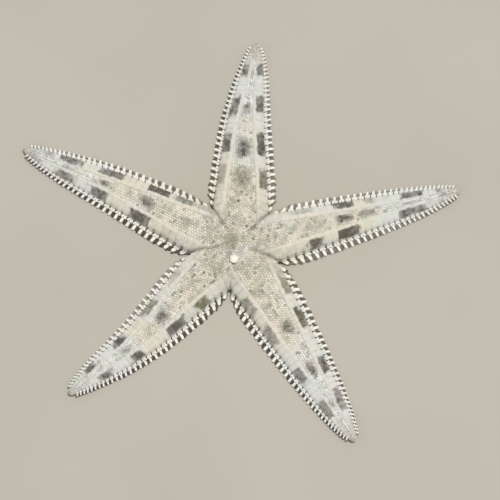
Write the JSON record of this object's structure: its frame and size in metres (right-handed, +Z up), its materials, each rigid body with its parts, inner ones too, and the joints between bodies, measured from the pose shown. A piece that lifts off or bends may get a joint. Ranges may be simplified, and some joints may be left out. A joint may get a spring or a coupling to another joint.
{
  "type": "sea star",
  "caption": "Life-size still model of a sand sea star lying flat, with tapering arms, a comb of flat spines along every edge and grooves for the tube feet underneath.",
  "frame": {"origin": "middle of the footprint's bounding box, on the floor that the animal lies on", "axes": "+Z up, away from the tube feet; +X towards the side that the right arm points to; -Y towards the pit between the two front arms"},
  "size_m": [0.1074, 0.1006, 0.0072],
  "materials": {
    "skin": "dry, chalky and finely granular, mottled grey-brown in bands",
    "madreporite": "bare lime plate, matte",
    "terminal_plate": "bare lime plate, matte"
  },
  "bodies": {
    "root": {"disc": "skin", "madreporite": "madreporite", "arm_right": "skin", "arm_back": "skin", "arm_left": "skin", "arm_front_left": "skin", "arm_front_right": "skin", "terminal_plate_right": "terminal_plate", "terminal_plate_back": "terminal_plate", "terminal_plate_left": "terminal_plate", "terminal_plate_front_left": "terminal_plate", "terminal_plate_front_right": "terminal_plate"}
  },
  "joints": []
}
